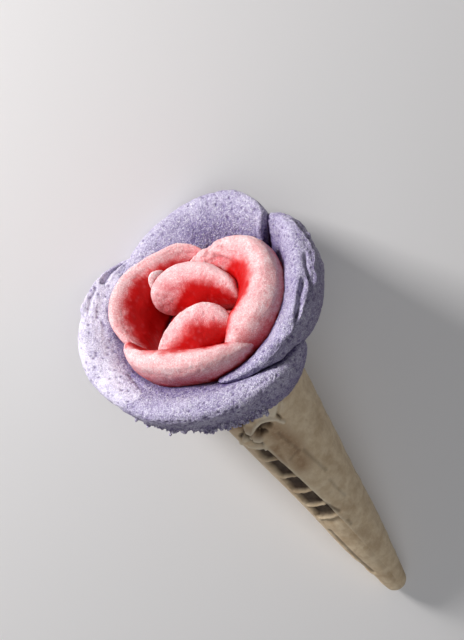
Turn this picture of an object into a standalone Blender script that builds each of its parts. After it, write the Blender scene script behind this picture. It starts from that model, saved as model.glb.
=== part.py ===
"""A rose of two gelatos on a rolled wafer cone, lying on its side, in metres with +Z up.

The flower is spread in petals: four of lavender gelato round a core that fills the cone, three of
pink gelato inside them as a ring, and two folded lobes with a curl in its middle. The cone is a
rolled wafer whose outer turn ends in a free edge. The flower faces away from the cone's tip and up,
and the whole rests on the back of the flower and on the tip.

Sizes below are in millimetres and degrees. The flower has its own frame: its middle is the origin,
+Z is the way it faces, and +Y runs across it towards the side that is uppermost as it lies.
"""

import math
from collections import namedtuple

import bmesh
import bpy
from mathutils import Matrix, Vector

MM = 0.001
GAP = 0.3

FACE_TILT = 20
LYING_ANGLE = 12.05
FACE_CENTRE = Vector((0.24, -66.12, 38.8))

MOUTH_BELOW_FACE = 36
CONE_LENGTH = 131
MOUTH_RADIUS = 21
TIP_RADIUS = 5.1
WAFER = 2.2
RIM_ROUNDING = 0.6
TIP_FILL = 8
ROLL_STEP = 1.4
EDGE_WIDTH = 1.5
EDGE_FADE = 4
WAFER_STEPS = 32
FREE_EDGE_AT_MOUTH = 47
FREE_EDGE_TWIST = 50

# The core's outline over the mouth, as radius and height, and how much wider it is across its sides
CORE_SWELL = [(21.8, -35.7), (26, -31), (31, -25), (34, -18), (35.5, -12), (32, -8), (23, -12)]
CORE_WIDENING = 0.1
HEART_SIZE = Vector((42, 42, 16))
HEART_HEIGHT = -14

# How a petal is spread: the point it bends round, how blunt its two ends are, and its stations from
# one end to the other. A station is the azimuth round that point, the crest's distance and height,
# how far the petal leans out, its depth and its thickness.
Petal = namedtuple("Petal", "round_point blunt_start blunt_end stations")
MIDDLE = (0, 0)

LAVENDER_PETALS = {
    "petal_right": Petal(
        MIDDLE,
        5,
        2.5,
        (
            (204, 47.5, 6, 10, 26, 10),
            (190, 49, 7, 18, 33, 14),
            (170, 48, 7, 25, 36, 18.5),
            (150, 46.6, 7, 30, 36, 18.5),
            (130, 46.5, 6, 36, 34, 15),
            (110, 45, 4, 42, 30, 11),
            (92, 43, 3, 46, 24, 8),
            (73, 40, 2, 48, 16, 5),
        ),
    ),
    "petal_top": Petal(
        MIDDLE,
        6,
        2.5,
        (
            (199, 46, 8, 22, 26, 12),
            (212, 50, 9, 34, 30, 13),
            (228, 52, 9, 42, 36, 15),
            (245, 50, 8, 48, 38, 17),
            (262, 47.5, 7, 48, 36, 17),
            (280, 45, 6, 45, 32, 14),
            (300, 42, 5, 42, 28, 11),
            (325, 41, 3, 40, 22, 8),
        ),
    ),
    "petal_left": Petal(
        MIDDLE,
        3,
        6,
        (
            (272, 45, 4, 38, 18, 5),
            (290, 49.5, 5, 38, 26, 8),
            (311, 51, 5, 38, 33, 12),
            (333, 51, 4, 40, 38, 16),
            (355, 50, 3, 42, 38, 16),
            (375, 49, 2, 45, 38, 15),
            (402, 48, 1, 48, 36, 14),
        ),
    ),
    "petal_lower": Petal(
        MIDDLE,
        6,
        3,
        (
            (0, 48.4, 0.6, 44, 35, 13),
            (18, 48.6, 0.7, 45, 37.5, 15.5),
            (38, 49, 1, 46, 40, 17),
            (60, 48.8, 0, 46, 40, 18.5),
            (82, 49, -1, 44, 40, 18.5),
            (104, 48.6, -2.5, 39, 38, 17.5),
            (127, 47.5, -2, 34, 32, 14),
        ),
    ),
}
PINK_PETALS = {
    "ring_right": Petal(
        MIDDLE,
        3,
        3,
        (
            (258, 22, 7, 12, 18, 9),
            (238, 23, 8, 16, 24, 12),
            (214, 27.8, 9.6, 21, 29, 16),
            (190, 32, 10.8, 24, 30, 18.5),
            (162, 32.4, 11, 24, 30, 21),
            (134, 31.9, 10.5, 24, 28, 22.5),
            (108, 29.8, 10, 24, 28, 22.5),
            (82, 32, 7, 26, 20, 9),
        ),
    ),
    "ring_front": Petal(
        MIDDLE,
        3,
        3,
        (
            (-14, 32, 7, 15, 18, 7),
            (6, 33, 9, 20, 24, 11),
            (28, 32, 10, 24, 28, 15),
            (52, 31.3, 10, 28, 28, 15),
            (76, 32.2, 9, 28, 27, 14),
            (95, 33, 7, 28, 24, 12),
            (109, 34, 4, 28, 18, 7),
        ),
    ),
    "ring_back": Petal(
        MIDDLE,
        3,
        3,
        (
            (228, 25, 9, 20, 20, 6),
            (251, 29, 11, 22, 26, 8),
            (275, 30, 11, 25, 28, 8),
            (297, 35, 10, 28, 28, 9),
            (320, 36.4, 9, 30, 28, 10),
            (341, 34, 8, 28, 26, 9),
            (360, 30, 6, 24, 20, 6),
        ),
    ),
    "lobe_back": Petal(
        (6, 4),
        2.5,
        2.5,
        (
            (291, 22, 6, 15, 14, 8),
            (279, 24, 8, 20, 20, 12),
            (257, 24, 10, 25, 24, 15),
            (231, 23, 10, 25, 26, 16),
            (205, 22, 9, 20, 24, 14),
            (185, 22, 8, 15, 18, 10),
            (170, 22, 6, 10, 14, 6),
        ),
    ),
    "lobe_front": Petal(
        (12, 32),
        2.5,
        2.5,
        (
            (303, 26.5, 3.5, 35, 11, 7),
            (283, 27.5, 6.8, 40, 20, 12),
            (261, 29, 9, 45, 24, 14),
            (244, 30, 9, 45, 24, 14),
            (228, 28.5, 8.5, 40, 21, 12),
            (213, 26, 7, 35, 14, 8),
        ),
    ),
    "curl": Petal(
        MIDDLE,
        2.5,
        2.5,
        (
            (298, 23, 7, 5, 9, 3),
            (291, 24, 9, 5, 10, 4),
            (284, 24, 9, 5, 10, 4),
            (276, 24, 8, 5, 9, 3),
        ),
    ),
}
EGG = 0.18
SHARP_ANGLE = 50
SEGMENTS_ROUND = 16
SEGMENTS_ALONG = 18


def catmull_rom(rows, place):
    """The rows' values at place, from 0 at the first row to 1 at the last, on a smooth curve."""
    span = place * (len(rows) - 1)
    i = min(int(span), len(rows) - 2)
    t = span - i
    before, start, end, after = (rows[max(0, min(len(rows) - 1, i + n))] for n in (-1, 0, 1, 2))
    return [
        0.5 * (2 * b + (c - a) * t + (2 * a - 5 * b + 4 * c - d) * t**2 + (3 * b - a - 3 * c + d) * t**3)
        for a, b, c, d in zip(before, start, end, after)
    ]


def petal_point(direction, form):
    """Where a point of the unit sphere goes: its poles are the petal's two ends."""
    along = max(-1, min(1, direction.z))
    azimuth, radius, height, lean, depth, thickness = catmull_rom(form.stations, (along + 1) / 2)
    blunt = form.blunt_start if along < 0 else form.blunt_end
    full = (1 - abs(along) ** blunt) ** (1 / blunt)
    turn = math.atan2(direction.y, direction.x)
    down = depth / 2 * (1 - full * math.cos(turn))
    out = thickness / 2 * full * math.sin(turn) * (1 - EGG * math.cos(turn))
    lean = math.radians(lean)
    azimuth = math.radians(azimuth)
    r = radius - down * math.sin(lean) + out * math.cos(lean)
    z = height - down * math.cos(lean) - out * math.sin(lean)
    x, y = form.round_point
    return Vector((x + r * math.cos(azimuth), y + r * math.sin(azimuth), z))


def object_from(name, bm, material, parent, cutter=False):
    """A named object of this mesh, its faces outwards and its mesh turned from millimetres to metres."""
    if bm.calc_volume(signed=True) < 0:
        bmesh.ops.reverse_faces(bm, faces=bm.faces)
    if cutter:
        bm.normal_update()
        for vertex in bm.verts:
            vertex.co += vertex.normal * GAP
    bmesh.ops.scale(bm, vec=(MM, MM, MM), verts=bm.verts)
    mesh = bpy.data.meshes.new(name)
    bm.to_mesh(mesh)
    bm.free()
    mesh.materials.append(material)
    mesh.shade_smooth()
    mesh.set_sharp_from_angle(angle=math.radians(SHARP_ANGLE))
    obj = bpy.data.objects.new(name, mesh)
    bpy.context.scene.collection.objects.link(obj)
    obj.parent = parent
    if cutter:
        obj.hide_render = True
        obj.display_type = "WIRE"
    return obj


def petal(name, form, material, parent, cutter=False):
    bm = bmesh.new()
    bmesh.ops.create_uvsphere(bm, u_segments=SEGMENTS_ROUND, v_segments=SEGMENTS_ALONG, radius=1)
    for vertex in bm.verts:
        vertex.co = petal_point(vertex.co, form)
    return object_from(name, bm, material, parent, cutter)


def cut(obj, cutters):
    for cutter in cutters:
        modifier = obj.modifiers.new(cutter.name, "BOOLEAN")
        modifier.operation = "DIFFERENCE"
        modifier.solver = "EXACT"
        modifier.object = cutter


def spread(petals, material, parent, cutters):
    """Makes these petals, each cut clear of the cutters and of the petals before it."""
    own = []
    for name, form in petals.items():
        piece = petal(name, form, material, parent)
        cut(piece, cutters + own)
        own.append(petal(name + "_cutter", form, material, parent, cutter=True))
    return own


def smooth_step(value):
    value = max(0, min(1, value))
    return value * value * (3 - 2 * value)


def turned(profile, steps):
    """A closed shape turned round Z from a profile that starts and ends on the axis."""
    bm = bmesh.new()
    points = [bm.verts.new((r, 0, z)) for r, z in profile]
    edges = [bm.edges.new(pair) for pair in zip(points, points[1:])]
    bmesh.ops.spin(
        bm,
        geom=points + edges,
        axis=(0, 0, 1),
        cent=(0, 0, 0),
        angle=math.tau,
        steps=steps,
        use_merge=True,
    )
    bmesh.ops.remove_doubles(bm, verts=bm.verts, dist=1e-5)
    return bm


def wafer_radius(height):
    """The plain cone's outer radius at a height, from the tip's rounding up to the mouth."""
    above_tip = height + MOUTH_BELOW_FACE + CONE_LENGTH - TIP_RADIUS
    return TIP_RADIUS + (MOUTH_RADIUS - TIP_RADIUS) * above_tip / (CONE_LENGTH - TIP_RADIUS)


def roll_wafer(vertex):
    """Moves a point of the plain cone so that the outer turn winds outwards to its free edge."""
    radius = math.hypot(vertex.co.x, vertex.co.y)
    if radius < 1e-3:
        return
    down = (-MOUTH_BELOW_FACE - vertex.co.z) / CONE_LENGTH
    past_edge = math.degrees(math.atan2(vertex.co.y, vertex.co.x)) % 360
    past_edge *= (360 - EDGE_WIDTH) / (360 - 360 / WAFER_STEPS)
    azimuth = math.radians(FREE_EDGE_AT_MOUTH + FREE_EDGE_TWIST * down + past_edge)
    if radius > wafer_radius(vertex.co.z) - WAFER / 2:
        radius += ROLL_STEP * (1 - past_edge / 360) * min(1, EDGE_FADE * (1 - down))
    vertex.co.x = radius * math.cos(azimuth)
    vertex.co.y = radius * math.sin(azimuth)


def wafer_cone(name, material, parent, cutter=False):
    """The rolled wafer, hollow down to its tip; as a cutter it is solid."""
    mouth = -MOUTH_BELOW_FACE
    tip = mouth - CONE_LENGTH
    rings = 5
    rounding = 5
    outer = []
    for n in range(rounding):
        turn = math.radians(90 * n / rounding)
        outer.append((TIP_RADIUS * math.sin(turn), tip + TIP_RADIUS * (1 - math.cos(turn))))
    for n in range(rings + 1):
        height = tip + TIP_RADIUS + (CONE_LENGTH - TIP_RADIUS - RIM_ROUNDING) * n / rings
        outer.append((wafer_radius(height), height))
    rim = [(MOUTH_RADIUS - RIM_ROUNDING, mouth), (MOUTH_RADIUS - WAFER + RIM_ROUNDING, mouth)]
    inner = []
    for n in range(rings + 1):
        height = mouth - RIM_ROUNDING - (CONE_LENGTH - TIP_FILL) * n / rings
        inner.append((wafer_radius(height) - WAFER, height))
    hollow = rim + inner + [(0, inner[-1][1] - 2)]
    solid = [(MOUTH_RADIUS, mouth + RIM_ROUNDING), (0, mouth + RIM_ROUNDING)]
    bm = turned(outer + (solid if cutter else hollow), WAFER_STEPS)
    for vertex in bm.verts:
        roll_wafer(vertex)
    return object_from(name, bm, material, parent, cutter)


def gelato_core(name, material, parent, cutter=False):
    """The gelato that fills the cone, swells over its mouth and carries the petals."""
    mouth = -MOUTH_BELOW_FACE
    bottom = mouth - CONE_LENGTH + TIP_FILL
    plug = []
    for n in range(9):
        height = bottom + (CONE_LENGTH - TIP_FILL + GAP) * n / 8
        plug.append((wafer_radius(height) - WAFER - GAP, height))
    bm = turned([(0, bottom - 1)] + plug + CORE_SWELL + [(0, CORE_SWELL[-1][1] - 1)], 28)
    tilt = Matrix.Rotation(-math.radians(FACE_TILT), 3, "X")
    for vertex in bm.verts:
        share = smooth_step((vertex.co.z - mouth - GAP) / 20)
        vertex.co = vertex.co.lerp(tilt @ vertex.co, share)
        vertex.co.x *= 1 + CORE_WIDENING * share
    return object_from(name, bm, material, parent, cutter)


def pink_heart(name, material, parent, cutter=False):
    """The pink gelato that closes the bottom of the ring."""
    bm = bmesh.new()
    bmesh.ops.create_uvsphere(bm, u_segments=24, v_segments=10, radius=1)
    bmesh.ops.scale(bm, vec=HEART_SIZE / 2, verts=bm.verts)
    bmesh.ops.translate(bm, vec=(0, 0, HEART_HEIGHT), verts=bm.verts)
    return object_from(name, bm, material, parent, cutter)


def floor_cutter(material):
    bm = bmesh.new()
    bmesh.ops.create_cube(bm, size=1)
    bmesh.ops.scale(bm, vec=(400, 400, 40), verts=bm.verts)
    bmesh.ops.translate(bm, vec=(0, 0, -20), verts=bm.verts)
    obj = object_from("floor_cutter", bm, material, None)
    obj.hide_render = True
    obj.display_type = "WIRE"
    return obj


def plain_material(name, colour, roughness):
    material = bpy.data.materials.new(name)
    material.use_nodes = True
    shader = material.node_tree.nodes["Principled BSDF"]
    shader.inputs["Base Color"].default_value = (*colour, 1)
    shader.inputs["Roughness"].default_value = roughness
    shader.inputs["Metallic"].default_value = 0
    return material


def empty(name, parent, location, turn):
    obj = bpy.data.objects.new(name, None)
    obj.location = location
    obj.rotation_euler = (math.radians(turn), 0, 0)
    obj.parent = parent
    bpy.context.scene.collection.objects.link(obj)
    return obj


def build():
    for obj in list(bpy.data.objects):
        bpy.data.objects.remove(obj, do_unlink=True)
    lavender = plain_material("lavender_gelato", (0.42, 0.35, 0.52), 0.55)
    pink = plain_material("pink_gelato", (0.80, 0.28, 0.32), 0.5)
    wafer = plain_material("wafer", (0.60, 0.44, 0.27), 0.75)
    laid = empty("laid_down", None, FACE_CENTRE * MM, 90 - LYING_ANGLE)
    face = empty("flower_face", laid, (0, 0, 0), -FACE_TILT)
    floor = floor_cutter(lavender)

    cone = wafer_cone("wafer_cone", wafer, laid)
    core = gelato_core("gelato_core", lavender, laid)
    heart = pink_heart("bud_heart", pink, face)
    cone_cut = wafer_cone("cone_cutter", wafer, laid, cutter=True)
    core_cut = gelato_core("core_cutter", lavender, laid, cutter=True)
    heart_cut = pink_heart("heart_cutter", pink, face, cutter=True)
    cut(cone, [floor])
    cut(core, [floor])

    cutters = [floor, core_cut, cone_cut]
    cutters += spread(LAVENDER_PETALS, lavender, face, cutters)
    cut(heart, cutters)
    cutters.append(heart_cut)
    spread(PINK_PETALS, pink, face, cutters)


build()
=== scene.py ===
"""The looks of a gelato rose on a rolled wafer cone, lying on its side with the flower up.

Every piece is shaped in millimetres: the petals in the flower's frame, with the flower's middle at
the origin and +Z the way it faces, and the wafer in the cone's frame, with +Z out of its mouth.
"""

import math
import random
from collections import namedtuple

import bmesh
import bpy
import numpy as np
from mathutils import Matrix, Vector, noise
from mathutils.bvhtree import BVHTree


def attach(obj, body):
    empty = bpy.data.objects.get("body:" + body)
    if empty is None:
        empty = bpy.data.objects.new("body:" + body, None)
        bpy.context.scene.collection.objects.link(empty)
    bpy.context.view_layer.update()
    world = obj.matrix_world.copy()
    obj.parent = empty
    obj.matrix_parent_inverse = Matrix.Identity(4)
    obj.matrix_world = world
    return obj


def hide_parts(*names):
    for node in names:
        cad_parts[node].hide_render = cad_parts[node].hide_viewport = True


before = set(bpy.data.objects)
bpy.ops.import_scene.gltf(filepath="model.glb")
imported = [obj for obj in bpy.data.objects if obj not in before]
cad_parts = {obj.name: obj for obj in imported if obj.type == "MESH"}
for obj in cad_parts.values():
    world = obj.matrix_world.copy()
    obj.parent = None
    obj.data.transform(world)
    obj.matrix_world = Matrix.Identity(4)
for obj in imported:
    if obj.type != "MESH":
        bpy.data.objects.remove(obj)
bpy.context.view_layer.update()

MM = 0.001
FACE_TILT = 20
LYING_ANGLE = 12.05
FACE_CENTRE = Vector((0.24, -66.12, 38.8))
LAID_DOWN = Matrix.Translation(FACE_CENTRE) @ Matrix.Rotation(math.radians(90 - LYING_ANGLE), 4, "X")
FLOWER = LAID_DOWN @ Matrix.Rotation(math.radians(-FACE_TILT), 4, "X")

MOUTH_BELOW_FACE = 36
CONE_LENGTH = 131
MOUTH_RADIUS = 21
TIP_RADIUS = 5.1
WAFER = 2.2
ROLL_STEP = 1.4
FREE_EDGE_AT_MOUTH = 47
FREE_EDGE_TWIST = 50

FINE = 2


# The camera and the floor

LENS = 80
SENSOR = 36
LONG_SIDE_PIXELS = 640
PICTURE_MIDDLE = (232, 320)
FLOWER_PIXEL = (200, 310)
CAMERA_DISTANCE = 0.551
CAMERA_ABOVE_CONE = 64
CONE_IN_PICTURE = (0.586, 0.810)


def picture_axes():
    """The directions towards the camera, the picture's right and its top, at the flower."""
    lift = math.radians(LYING_ANGLE + CAMERA_ABOVE_CONE)
    towards = Vector((0, -math.cos(lift), math.sin(lift)))
    along_cone = Vector((0, math.sin(lift), math.cos(lift)))
    across = Vector((-1, 0, 0))
    slant, drop = CONE_IN_PICTURE
    return towards, slant * along_cone + drop * across, -drop * along_cone + slant * across


def make_camera():
    towards, right, up = picture_axes()
    focal = LENS / SENSOR * LONG_SIDE_PIXELS
    offset = [(a - b) / focal for a, b in zip(FLOWER_PIXEL, PICTURE_MIDDLE)]
    ray = Vector((offset[0], -offset[1], -1)).normalized()
    turned_to_flower = Vector((0, 0, -1)).rotation_difference(ray).to_matrix()
    axes = Matrix((right, up, right.cross(up))).transposed()
    data = bpy.data.cameras.new("camera")
    data.lens = LENS
    data.sensor_width = SENSOR
    camera = bpy.data.objects.new("camera", data)
    bpy.context.scene.collection.objects.link(camera)
    place = FACE_CENTRE * MM + towards * CAMERA_DISTANCE
    camera.matrix_world = Matrix.Translation(place) @ (axes @ turned_to_flower.inverted()).to_4x4()
    bpy.context.scene.camera = camera


def soft_light(name, direction, distance, watts, size, colour=(1, 1, 1)):
    data = bpy.data.lights.new(name, "AREA")
    data.energy = watts
    data.size = size
    data.color = colour
    light = bpy.data.objects.new(name, data)
    bpy.context.scene.collection.objects.link(light)
    light.location = FACE_CENTRE * MM + direction.normalized() * distance
    light.rotation_euler = (-direction).to_track_quat("-Z", "Y").to_euler()


def light_the_studio():
    towards, right, up = picture_axes()
    soft_light("key", -1.0 * right + 0.5 * up + 0.6 * towards, 0.8, 9.4, 0.2, (1.0, 0.98, 0.97))
    soft_light("overhead", Vector((0.1, 0.35, 1)), 1.1, 3.3, 1.4)
    soft_light("front_fill", 0.9 * towards - 0.4 * up, 0.9, 0.25, 0.8)
    world = bpy.data.worlds.new("studio")
    world.use_nodes = True
    backdrop = world.node_tree.nodes["Background"]
    backdrop.inputs["Color"].default_value = (0.92, 0.94, 1.0, 1)
    backdrop.inputs["Strength"].default_value = 0.11
    bpy.context.scene.world = world
    bpy.context.scene.view_settings.view_transform = "Standard"


def make_floor():
    bm = bmesh.new()
    bmesh.ops.create_grid(bm, x_segments=1, y_segments=1, size=3)
    mesh = bpy.data.meshes.new("floor")
    bm.to_mesh(mesh)
    bm.free()
    floor = bpy.data.objects.new("floor", mesh)
    bpy.context.scene.collection.objects.link(floor)
    material = bpy.data.materials.new("pale_floor")
    material.use_nodes = True
    shader = material.node_tree.nodes["Principled BSDF"]
    shader.inputs["Base Color"].default_value = (0.88, 0.87, 0.87, 1)
    shader.inputs["Roughness"].default_value = 0.7
    mesh.materials.append(material)


# How a petal is spread: the point it bends round, how blunt its two ends are, and its stations from
# one end to the other. A station is the azimuth round that point, the crest's distance and height,
# how far the petal leans out, its depth and its thickness.
Petal = namedtuple("Petal", "round_point blunt_start blunt_end stations")
MIDDLE = (0, 0)

LAVENDER_PETALS = {
    "petal_right": Petal(
        MIDDLE,
        5,
        2.5,
        (
            (204, 47.5, 6, 10, 26, 10),
            (190, 49, 7, 18, 33, 14),
            (170, 48, 7, 25, 36, 18.5),
            (150, 46.6, 7, 30, 36, 18.5),
            (130, 46.5, 6, 36, 34, 15),
            (110, 45, 4, 42, 30, 11),
            (92, 43, 3, 46, 24, 8),
            (73, 40, 2, 48, 16, 5),
        ),
    ),
    "petal_top": Petal(
        MIDDLE,
        6,
        2.5,
        (
            (199, 46, 8, 22, 26, 12),
            (212, 50, 9, 34, 30, 13),
            (228, 52, 9, 42, 36, 15),
            (245, 50, 8, 48, 38, 17),
            (262, 47.5, 7, 48, 36, 17),
            (280, 45, 6, 45, 32, 14),
            (300, 42, 5, 42, 28, 11),
            (325, 41, 3, 40, 22, 8),
        ),
    ),
    "petal_left": Petal(
        MIDDLE,
        3,
        6,
        (
            (272, 45, 4, 38, 18, 5),
            (290, 49.5, 5, 38, 26, 8),
            (311, 51, 5, 38, 33, 12),
            (333, 51, 4, 40, 38, 16),
            (355, 50, 3, 42, 38, 16),
            (375, 49, 2, 45, 38, 15),
            (402, 48, 1, 48, 36, 14),
        ),
    ),
    "petal_lower": Petal(
        MIDDLE,
        6,
        3,
        (
            (0, 48.4, 0.6, 44, 35, 13),
            (18, 48.6, 0.7, 45, 37.5, 15.5),
            (38, 49, 1, 46, 40, 17),
            (60, 48.8, 0, 46, 40, 18.5),
            (82, 49, -1, 44, 40, 18.5),
            (104, 48.6, -2.5, 39, 38, 17.5),
            (127, 47.5, -2, 34, 32, 14),
        ),
    ),
}
PINK_PETALS = {
    "ring_right": Petal(
        MIDDLE,
        3,
        3,
        (
            (258, 22, 7, 12, 18, 9),
            (238, 23, 8, 16, 24, 12),
            (214, 27.8, 9.6, 21, 29, 16),
            (190, 32, 10.8, 24, 30, 18.5),
            (162, 32.4, 11, 24, 30, 21),
            (134, 31.9, 10.5, 24, 28, 22.5),
            (108, 29.8, 10, 24, 28, 22.5),
            (82, 32, 7, 26, 20, 9),
        ),
    ),
    "ring_front": Petal(
        MIDDLE,
        3,
        3,
        (
            (-14, 32, 7, 15, 18, 7),
            (6, 33, 9, 20, 24, 11),
            (28, 32, 10, 24, 28, 15),
            (52, 31.3, 10, 28, 28, 15),
            (76, 32.2, 9, 28, 27, 14),
            (95, 33, 7, 28, 24, 12),
            (109, 34, 4, 28, 18, 7),
        ),
    ),
    "ring_back": Petal(
        MIDDLE,
        3,
        3,
        (
            (228, 25, 9, 20, 20, 6),
            (251, 29, 11, 22, 26, 8),
            (275, 30, 11, 25, 28, 8),
            (297, 35, 10, 28, 28, 9),
            (320, 36.4, 9, 30, 28, 10),
            (341, 34, 8, 28, 26, 9),
            (360, 30, 6, 24, 20, 6),
        ),
    ),
    "lobe_back": Petal(
        (6, 4),
        2.5,
        2.5,
        (
            (291, 22, 6, 15, 14, 8),
            (279, 24, 8, 20, 20, 12),
            (257, 24, 10, 25, 24, 15),
            (231, 23, 10, 25, 26, 16),
            (205, 22, 9, 20, 24, 14),
            (185, 22, 8, 15, 18, 10),
            (170, 22, 6, 10, 14, 6),
        ),
    ),
    "lobe_front": Petal(
        (12, 32),
        2.5,
        2.5,
        (
            (303, 26.5, 3.5, 35, 11, 7),
            (283, 27.5, 6.8, 40, 20, 12),
            (261, 29, 9, 45, 24, 14),
            (244, 30, 9, 45, 24, 14),
            (228, 28.5, 8.5, 40, 21, 12),
            (213, 26, 7, 35, 14, 8),
        ),
    ),
    "curl": Petal(
        MIDDLE,
        2.5,
        2.5,
        (
            (298, 23, 7, 5, 9, 3),
            (291, 24, 9, 5, 10, 4),
            (284, 24, 9, 5, 10, 4),
            (276, 24, 8, 5, 9, 3),
        ),
    ),
}
EGG = 0.18
# How boxy a petal's inner side is near its crest, as the power of its section's sine: 1 is round
ROUND = 1
INNER_EDGE = {
    "ring_front": 0.55,
    "ring_right": 0.8,
    "petal_right": 0.6,
    "lobe_front": 0.85,
    "lobe_back": 0.85,
}
# Where a point is on its petal: its share of the way along, and how far it is along, down from the
# crest and out from the middle of the petal's thickness
ON_PETAL = ("share", "along", "down", "out")

# How many faces a petal has round its section and along it, before it is subdivided
MESH_OF = {
    "petal_right": (44, 76),
    "petal_top": (44, 76),
    "petal_left": (44, 76),
    "petal_lower": (44, 76),
    "ring_right": (36, 62),
    "ring_front": (34, 50),
    "ring_back": (32, 60),
    "lobe_back": (32, 46),
    "lobe_front": (32, 42),
    "curl": (12, 18),
}


def catmull_rom(rows, place):
    """The rows' values at place, from 0 at the first row to 1 at the last, on a smooth curve."""
    span = place * (len(rows) - 1)
    i = min(int(span), len(rows) - 2)
    t = span - i
    before, start, end, after = (rows[max(0, min(len(rows) - 1, i + n))] for n in (-1, 0, 1, 2))
    return [
        0.5 * (2 * b + (c - a) * t + (2 * a - 5 * b + 4 * c - d) * t**2 + (3 * b - a - 3 * c + d) * t**3)
        for a, b, c, d in zip(before, start, end, after)
    ]


def smooth_step(low, high, value):
    """0 at low and 1 at high, eased at both ends. It falls where low is the larger of the two."""
    share = np.clip((value - low) / (high - low), 0, 1)
    return share * share * (3 - 2 * share)


def spread_petal(form, inner_edge, round_section, along_petal):
    """The petal's smooth form, with where on the petal each of its points is."""
    bm = bmesh.new()
    bmesh.ops.create_uvsphere(bm, u_segments=round_section, v_segments=along_petal, radius=1)
    layers = [bm.verts.layers.float.new(key) for key in ON_PETAL]
    for vertex in bm.verts:
        along = max(-1, min(1, vertex.co.z))
        azimuth, radius, height, lean, depth, thickness = catmull_rom(form.stations, (along + 1) / 2)
        blunt = form.blunt_start if along < 0 else form.blunt_end
        full = (1 - abs(along) ** blunt) ** (1 / blunt)
        turn = math.atan2(vertex.co.y, vertex.co.x)
        down = depth / 2 * (1 - full * math.cos(turn))
        side = math.sin(turn)
        if side < 0 and math.cos(turn) > 0:
            side = -((-side) ** inner_edge)
        out = thickness / 2 * full * side * (1 - EGG * math.cos(turn))
        lean = math.radians(lean)
        azimuth = math.radians(azimuth)
        r = radius - down * math.sin(lean) + out * math.cos(lean)
        x, y = form.round_point
        vertex.co.x = x + r * math.cos(azimuth)
        vertex.co.y = y + r * math.sin(azimuth)
        vertex.co.z = height - down * math.cos(lean) - out * math.sin(lean)
        for layer, value in zip(layers, ((along + 1) / 2, azimuth * radius, down, out)):
            vertex[layer] = value
    if bm.calc_volume(signed=True) < 0:
        bmesh.ops.reverse_faces(bm, faces=bm.faces)
    return bm


def turned(profile, steps):
    """A closed shape turned round Z from a profile that starts and ends on the axis."""
    bm = bmesh.new()
    points = [bm.verts.new((r, 0, z)) for r, z in profile]
    edges = [bm.edges.new(pair) for pair in zip(points, points[1:])]
    bmesh.ops.spin(
        bm,
        geom=points + edges,
        axis=(0, 0, 1),
        cent=(0, 0, 0),
        angle=math.tau,
        steps=steps,
        use_merge=True,
    )
    bmesh.ops.remove_doubles(bm, verts=bm.verts, dist=1e-5)
    if bm.calc_volume(signed=True) < 0:
        bmesh.ops.reverse_faces(bm, faces=bm.faces)
    return bm


# The core's radii and heights, from its foot inside the cone up to the hollow under the pink petals
MOUTH_HEIGHT = -MOUTH_BELOW_FACE
CORE_FOOT = [(0, MOUTH_HEIGHT - 12), (15, MOUTH_HEIGHT - 11), (17.5, MOUTH_HEIGHT - 5)]
CORE_SWELL = [(21.8, -35.7), (26, -31), (31, -25), (34, -18), (35.5, -12), (32, -8), (23, -12), (0, -13)]
CORE_RINGS_BETWEEN = 4
CORE_STEPS = 64
CORE_WIDENING = 0.1
CORE_BEND = 20
HEART_SIZE = Vector((42, 42, 16))
HEART_HEIGHT = -14
HEART_STEPS = 40


def gelato_core():
    """The gelato over the cone's mouth, down to just inside it, in the flower's frame."""
    stations = CORE_FOOT + CORE_SWELL
    rings = (len(stations) - 1) * CORE_RINGS_BETWEEN
    profile = []
    for n in range(rings + 1):
        r, z = catmull_rom(stations, n / rings)
        profile.append((max(0, r), z))
    bm = turned(profile, CORE_STEPS)
    tilt = Matrix.Rotation(-math.radians(FACE_TILT), 3, "X")
    for vertex in bm.verts:
        share = float(smooth_step(0, CORE_BEND, vertex.co.z - MOUTH_HEIGHT))
        vertex.co = vertex.co.lerp(tilt @ vertex.co, share)
        vertex.co.x *= 1 + CORE_WIDENING * share
    bmesh.ops.transform(bm, matrix=FLOWER.inverted() @ LAID_DOWN, verts=bm.verts)
    return bm


def pink_heart():
    bm = bmesh.new()
    bmesh.ops.create_uvsphere(bm, u_segments=HEART_STEPS, v_segments=HEART_STEPS // 2, radius=1)
    bmesh.ops.scale(bm, vec=HEART_SIZE / 2, verts=bm.verts)
    bmesh.ops.translate(bm, vec=(0, 0, HEART_HEIGHT), verts=bm.verts)
    return bm


# Sculpting. A stroke follows a line in the flower's frame and pushes the surface out or in.
Stroke = namedtuple("Stroke", "line width push")

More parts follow.
